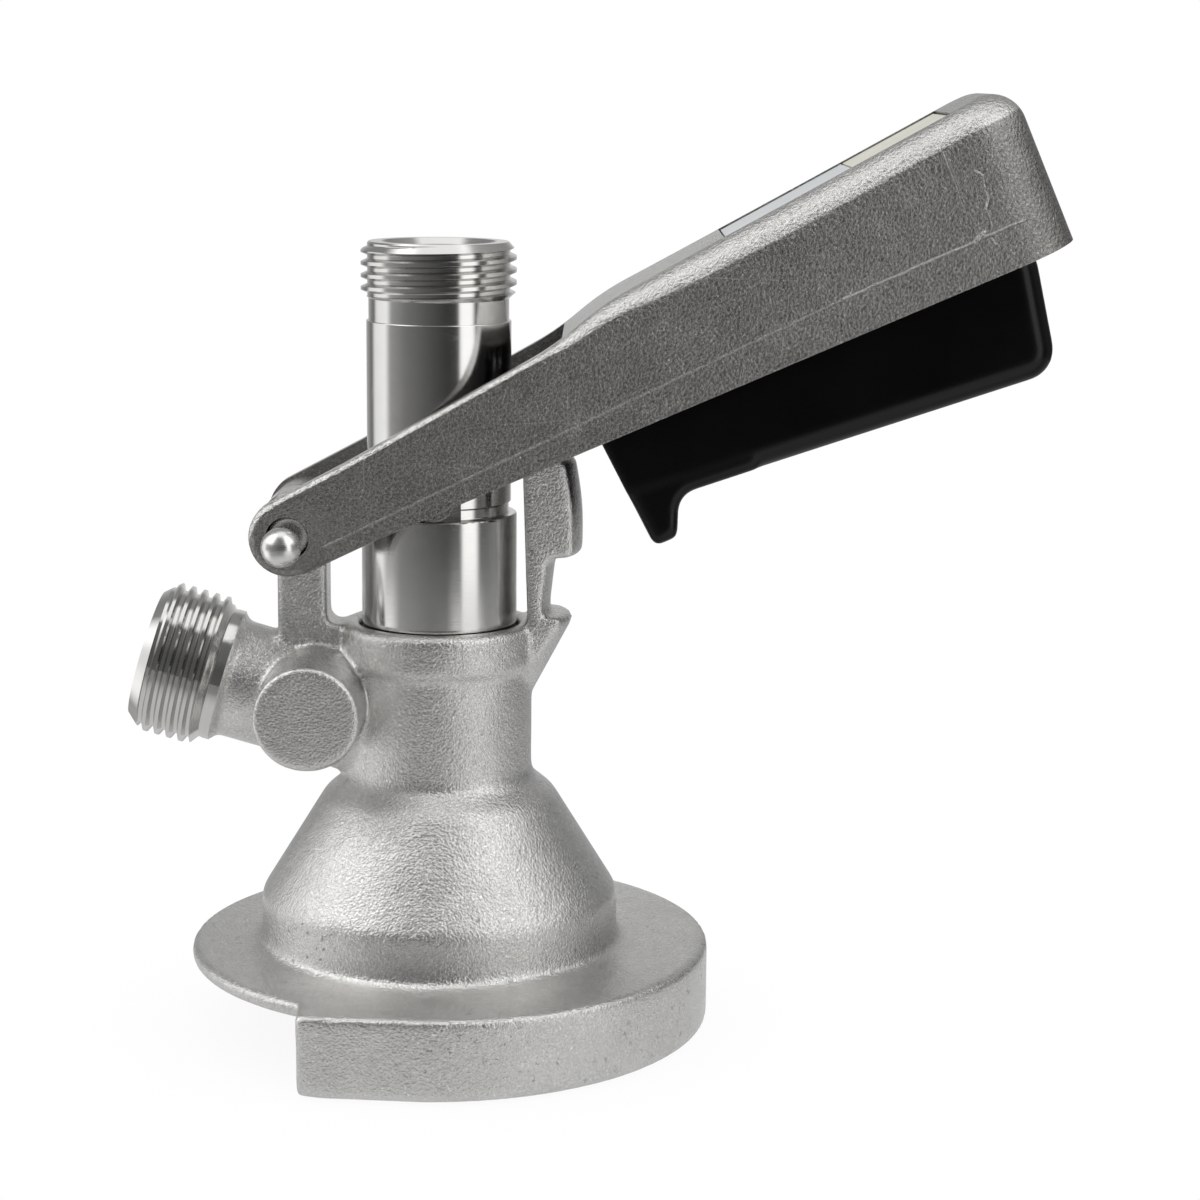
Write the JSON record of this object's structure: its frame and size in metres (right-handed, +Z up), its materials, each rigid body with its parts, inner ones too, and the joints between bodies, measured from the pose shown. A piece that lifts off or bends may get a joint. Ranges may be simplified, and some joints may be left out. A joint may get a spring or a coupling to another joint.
{
  "type": "keg_coupler",
  "caption": "Slide-on keg coupler in cast stainless steel with a beer probe, a gas stub and a latching lever with a black pull grip",
  "frame": {"origin": "on the axis of the beer probe, at the underside of the base", "axes": "+Z up along the probe towards the beer outlet, +X towards the free end of the lever, +Y to the left of the lever"},
  "size_m": [0.1375, 0.0814, 0.139],
  "materials": {
    "cast_stainless": "investment cast, fine orange-peel texture, low sheen",
    "lever_stainless": "investment cast, darker and finer in grain than the body",
    "turned_stainless": "turned and polished stainless steel",
    "pin_steel": "turned steel, bright",
    "spring_steel": "spring steel, dull bright",
    "seal_rubber": "smooth black rubber",
    "valve_rubber": "smooth pale rubber",
    "clear_plastic": "natural plastic",
    "ball_plastic": "smooth plastic ball",
    "label_plastic": "bare smooth plate, cool white",
    "label_plastic_warm": "bare smooth plate, warm white",
    "grip_plastic": "satin black moulded plastic"
  },
  "bodies": {
    "root": {"base_plate": "cast_stainless", "base_wall": "cast_stainless", "base_lip": "cast_stainless", "coupler_body": "cast_stainless", "hinge_pin": "pin_steel", "hinge_pin_clip": "spring_steel", "base_seal": "seal_rubber", "gas_check_valve": "valve_rubber", "gas_valve_retainer": "clear_plastic"},
    "probe": {"probe_tube": "turned_stainless", "probe_foot_seal": "seal_rubber", "probe_oring": "seal_rubber", "ball_cage": "clear_plastic"},
    "ball": {"check_ball": "ball_plastic"},
    "lever": {"lever_handle": "lever_stainless", "label_plate_inner": "label_plastic", "label_plate_outer": "label_plastic_warm", "guide_pin_inner": "pin_steel", "guide_pin_outer": "pin_steel", "trigger_spring": "spring_steel"},
    "trigger": {"trigger_grip": "grip_plastic", "latch_plate": "spring_steel", "latch_screws": "pin_steel"}
  },
  "joints": [
    {"name": "lever_pivot", "type": "hinge", "parent": "root", "child": "lever", "pos_m": [-0.021, 0, 0.07539], "axis": [0, 1, 0], "range_deg": [0, 27]},
    {"name": "probe_slide", "type": "slide", "parent": "root", "child": "probe", "axis": [0, 0, 1], "range_m": [-0.01008, 0]},
    {"name": "check_ball_lift", "type": "slide", "parent": "probe", "child": "ball", "axis": [0, 0, 1], "range_m": [0, 0.0024]},
    {"name": "trigger_pull", "type": "slide", "parent": "lever", "child": "trigger", "axis": [0.9164, 0, 0.4003], "range_m": [-0.0018, 0.0018], "stiffness_N_per_m": 2000, "deforming": ["trigger_spring"]}
  ],
  "couplings": [
    {"joint": "probe_slide", "follows": "lever_pivot", "m_per_rad": -0.021397}
  ]
}
